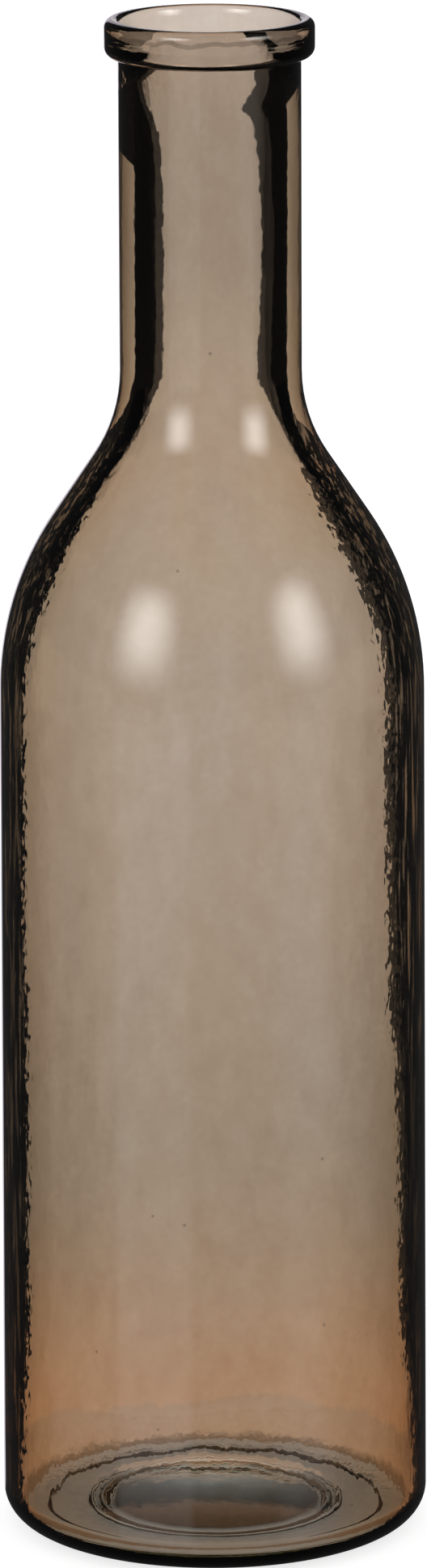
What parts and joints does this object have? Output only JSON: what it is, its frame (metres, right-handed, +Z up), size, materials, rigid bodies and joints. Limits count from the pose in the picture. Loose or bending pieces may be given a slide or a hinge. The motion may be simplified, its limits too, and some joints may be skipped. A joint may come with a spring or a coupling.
{
  "type": "decorative glass bottle",
  "caption": "Tall decorative glass bottle vase with a straight neck, a rounded collar at the mouth, sloping shoulder, straight body and punted base, in see-through taupe glass.",
  "frame": {"origin": "centre of the standing ring's underside, where the bottle's axis meets the surface it stands on", "axes": "+Z up along the bottle's axis towards the mouth; X and Y are level, and the two halves of the mould met in the plane of X and Z"},
  "size_m": [0.14, 0.14, 0.5],
  "materials": {
    "tinted_glass": "glossy see-through glass with a thin taupe-brown tint, slightly rippled inside, clear greenish at the base"
  },
  "bodies": {
    "root": {"bottle_body": "tinted_glass", "mouth_collar": "tinted_glass"}
  },
  "joints": []
}
